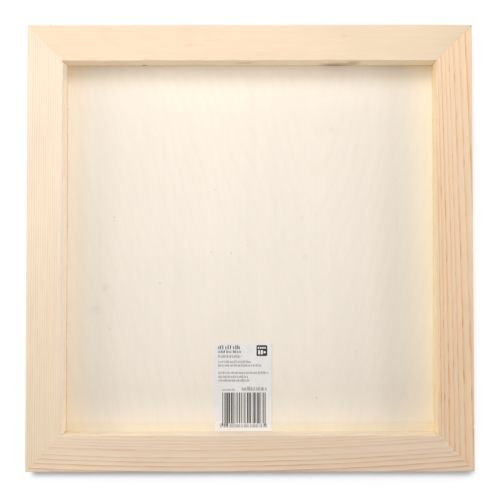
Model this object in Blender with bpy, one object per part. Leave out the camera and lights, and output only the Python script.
"""Cradled wood painting panel, 10 x 10 x 3/4 inch, lying face down with its open back up.

Four pine rails of one moulding are mitred, glued and pinned with V-nails into a square frame.
A sheet of three-ply plywood is glued over the frame's front, flush with its outside.
A paper label sits on the plywood inside the frame.

Frame: origin at the centre of the painting face, +Z out of the open back, +Y to the top rail.
Left and right are as seen from the back. Units are metres.
"""

import math

import bmesh
import bpy

INCH = 0.0254

# Overall size
SIDE = 10 * INCH
DEPTH = 0.75 * INCH

# Plywood sheet: two thin veneers on a thicker cross-grain core, with a resin line between plies
VENEER = 0.0006
CORE_PLY = 0.0017
PLY_BOND = 0.00005
SHEET = 2 * VENEER + CORE_PLY + 2 * PLY_BOND
FACE_ARRIS = 0.0002

# Glue films: each lies in a joint a little thicker than itself
GLUE_FILM = 0.0001
GLUE_JOINT = 0.0002

# Pine moulding that the rails are cut from
RAIL_WIDTH = 0.0204
RAIL_ARRIS = 0.0004
RAIL_BASE = SHEET + GLUE_JOINT
RAIL_HEIGHT = DEPTH - RAIL_BASE
RAIL_FROM_CENTRE = SIDE / 2 - RAIL_WIDTH / 2
INNER_HALF = SIDE / 2 - RAIL_WIDTH
GLUE_SET_IN = 0.0003

# V-nail: a steel strip folded to a right angle, its legs square to the grain of the rails
NAIL_STEEL = 0.0005
NAIL_EDGE = 0.00015
NAIL_LEG = 0.005
NAIL_FLARE = 0.0006
NAIL_HEIGHT = 0.010
NAIL_BEVEL = 0.0012
NAIL_SUNK = 0.0001
SLOT_CLEARANCE = 0.0001
SLOT_OVERCUT = 0.001
# Its fold's distance from the frame's inner corner, along X and along Y
NAIL_PLACES = {"inner": 0.0045, "outer": 0.0120}

# Paper label on the back veneer
LABEL_WIDTH = 1.3 * INCH
LABEL_HEIGHT = 2.0 * INCH
LABEL_PAPER = 0.0001
LABEL_CENTRE_X = -0.0040
LABEL_ABOVE_RAIL = 0.0003

# Each quarter turn about +Z carries the top rail and the top right corner to the next ones
TURNS = (
    ("top", "top_right"),
    ("left", "top_left"),
    ("bottom", "bottom_left"),
    ("right", "bottom_right"),
)


def clear_scene():
    for obj in list(bpy.data.objects):
        bpy.data.objects.remove(obj)


def material(name, colour, roughness, metallic=0.0):
    made = bpy.data.materials.new(name)
    made.use_nodes = True
    shader = made.node_tree.nodes["Principled BSDF"]
    shader.inputs["Base Color"].default_value = (*colour, 1.0)
    shader.inputs["Roughness"].default_value = roughness
    shader.inputs["Metallic"].default_value = metallic
    return made


def add_object(name, mesh, finish=None, location=(0, 0, 0), parent=None):
    obj = bpy.data.objects.new(name, mesh)
    bpy.context.scene.collection.objects.link(obj)
    obj.location = location
    obj.parent = parent
    if finish and finish.name not in mesh.materials:
        mesh.materials.append(finish)
    return obj


def mesh_from(bm, name):
    bmesh.ops.recalc_face_normals(bm, faces=bm.faces)
    mesh = bpy.data.meshes.new(name)
    bm.to_mesh(mesh)
    bm.free()
    return mesh


def unit_box():
    bm = bmesh.new()
    bmesh.ops.create_cube(bm, size=1.0)
    return bm


def plate_mesh(name, width, height, thickness, arris=0.0):
    """A flat plate centred on the origin. An arris rounds the four edges of its lower face."""
    bm = unit_box()
    bmesh.ops.scale(bm, vec=(width, height, thickness), verts=bm.verts)
    if arris:
        lower = [e for e in bm.edges if all(v.co.z < 0 for v in e.verts)]
        bmesh.ops.bevel(bm, geom=lower, offset=arris, segments=2, profile=0.5, affect="EDGES")
    return mesh_from(bm, name)


def rail_mesh():
    """One length of moulding along X, its outer side at +Y, with both ends cut to 45 degrees."""
    bm = unit_box()
    bmesh.ops.scale(bm, vec=(1.0, RAIL_WIDTH, RAIL_HEIGHT), verts=bm.verts)
    setback = GLUE_JOINT / 2 * math.sqrt(2)
    for vert in bm.verts:
        half_length = RAIL_FROM_CENTRE + vert.co.y - setback
        vert.co.x = math.copysign(half_length, vert.co.x)
    long_edges = [e for e in bm.edges if e.verts[0].co.x * e.verts[1].co.x < 0]
    bmesh.ops.bevel(bm, geom=long_edges, offset=RAIL_ARRIS, segments=3, profile=0.5, affect="EDGES")
    return mesh_from(bm, "rail_moulding")


def strip_outline(half_thickness, leg):
    """The V-nail's strip seen from above: apex at the origin, legs along +X and +Y, tips flared."""
    flare = NAIL_FLARE
    lean = half_thickness * math.tan(math.pi / 8)
    side = half_thickness * math.sqrt(0.5)
    bend = leg - flare
    x_leg = [
        (-half_thickness, -half_thickness),
        (bend - lean, -half_thickness),
        (leg - side, -flare - side),
        (leg + side, -flare + side),
        (bend + lean, half_thickness),
        (half_thickness, half_thickness),
    ]
    y_leg = [(y, x) for x, y in reversed(x_leg[1:-1])]
    return x_leg + y_leg


def strip_mesh(name, rings):
    """A solid strip through (height, half thickness, leg) rings, closed at both ends."""
    bm = bmesh.new()
    loops = []
    for height, half_thickness, leg in rings:
        loops.append([bm.verts.new((x, y, height)) for x, y in strip_outline(half_thickness, leg)])
    bm.faces.new(loops[0])
    bm.faces.new(loops[-1])
    for lower, upper in zip(loops, loops[1:]):
        for i in range(len(lower)):
            bm.faces.new((lower[i - 1], lower[i], upper[i], upper[i - 1]))
    return mesh_from(bm, name)


def nail_mesh():
    """Blunt end down at z 0, ground to a thin edge at the top."""
    body = NAIL_STEEL / 2
    edge = NAIL_EDGE / 2
    return strip_mesh(
        "v_nail",
        [(0, body, NAIL_LEG), (NAIL_HEIGHT - NAIL_BEVEL, body, NAIL_LEG), (NAIL_HEIGHT, edge, NAIL_LEG)],
    )


def slot_mesh():
    """The kerf that a V-nail opens as it is driven, from below the rails to just past its edge."""
    half = NAIL_STEEL / 2 + SLOT_CLEARANCE
    leg = NAIL_LEG + SLOT_CLEARANCE
    return strip_mesh("v_nail_slot", [(-SLOT_OVERCUT, half, leg), (NAIL_HEIGHT + SLOT_CLEARANCE, half, leg)])


def mitre_glue_mesh():
    """The glue film in one mitre, standing along the local X axis."""
    length = RAIL_WIDTH * math.sqrt(2) - 2 * GLUE_SET_IN
    return plate_mesh("mitre_glue", length, GLUE_FILM, RAIL_HEIGHT - 2 * GLUE_SET_IN)


def glue_bed_mesh():
    """The square ring of glue between the plywood and the rails."""
    bm = bmesh.new()
    bmesh.ops.create_grid(bm, x_segments=1, y_segments=1, size=SIDE / 2 - GLUE_SET_IN)
    rim = RAIL_WIDTH - 2 * GLUE_SET_IN
    bmesh.ops.inset_region(bm, faces=bm.faces, thickness=rim, use_boundary=True)
    middle = [f for f in bm.faces if f.calc_center_median().length < RAIL_WIDTH]
    bmesh.ops.delete(bm, geom=middle, context="FACES")
    raised = bmesh.ops.extrude_face_region(bm, geom=list(bm.faces))
    top = [item for item in raised["geom"] if isinstance(item, bmesh.types.BMVert)]
    bmesh.ops.translate(bm, verts=top, vec=(0, 0, GLUE_FILM))
    return mesh_from(bm, "glue_bed")


def cut(obj, cutter):
    boolean = obj.modifiers.new(cutter.name, "BOOLEAN")
    boolean.operation = "DIFFERENCE"
    boolean.solver = "EXACT"
    boolean.object = cutter


def make_sheet():
    birch = material("birch_veneer", (0.80, 0.68, 0.52), 0.6)
    core = material("poplar_core", (0.66, 0.50, 0.33), 0.7)
    face = plate_mesh("face_veneer", SIDE, SIDE, VENEER, FACE_ARRIS)
    middle = plate_mesh("core_ply", SIDE, SIDE, CORE_PLY)
    back = plate_mesh("back_veneer", SIDE, SIDE, VENEER)
    face_z = VENEER / 2
    core_z = VENEER + PLY_BOND + CORE_PLY / 2
    add_object("panel_face_veneer", face, birch, (0, 0, face_z))
    add_object("panel_core_ply", middle, core, (0, 0, core_z))
    add_object("panel_back_veneer", back, birch, (0, 0, SHEET - VENEER / 2))


def make_glue_bed(glue):
    z = SHEET + (GLUE_JOINT - GLUE_FILM) / 2
    add_object("panel_glue_bed", glue_bed_mesh(), glue, (0, 0, z))


def make_frame(glue):
    pine = material("pine", (0.76, 0.62, 0.45), 0.6)
    steel = material("zinc_steel", (0.62, 0.62, 0.60), 0.35, 1.0)
    rail = rail_mesh()
    nail = nail_mesh()
    slot = slot_mesh()
    film = mitre_glue_mesh()
    nail_z = RAIL_BASE + NAIL_SUNK
    middle = INNER_HALF + RAIL_WIDTH / 2
    rails = []
    corners = []
    for turn, (side, corner) in enumerate(TURNS):
        hub = add_object("turn_" + side, None)
        hub.rotation_euler.z = turn * math.pi / 2
        place = (0, RAIL_FROM_CENTRE, RAIL_BASE + RAIL_HEIGHT / 2)
        rails.append(add_object("rail_" + side, rail, pine, place, hub))
        place = (middle, middle, RAIL_BASE + RAIL_HEIGHT / 2)
        seam = add_object("mitre_glue_" + corner, film, glue, place, hub)
        seam.rotation_euler.z = math.pi / 4
        cutters = []
        for name, distance in NAIL_PLACES.items():
            place = (INNER_HALF + distance, INNER_HALF + distance, nail_z)
            add_object(f"v_nail_{corner}_{name}", nail, steel, place, hub)
            cutter = add_object(f"slot_{corner}_{name}", slot, None, place, hub)
            cutter.hide_render = True
            cutter.display_type = "WIRE"
            cutters.append(cutter)
        corners.append((seam, cutters))
    for turn, (seam, cutters) in enumerate(corners):
        for cutter in cutters:
            cut(seam, cutter)
            cut(rails[turn], cutter)
            cut(rails[turn - 1], cutter)


def make_label():
    paper = material("label_paper", (0.82, 0.80, 0.78), 0.8)
    mesh = plate_mesh("label", LABEL_WIDTH, LABEL_HEIGHT, LABEL_PAPER)
    y = LABEL_ABOVE_RAIL - INNER_HALF + LABEL_HEIGHT / 2
    z = SHEET + PLY_BOND + LABEL_PAPER / 2
    add_object("label", mesh, paper, (LABEL_CENTRE_X, y, z))


def main():
    clear_scene()
    glue = material("dried_glue", (0.80, 0.68, 0.42), 0.3)
    make_sheet()
    make_glue_bed(glue)
    make_frame(glue)
    make_label()


main()
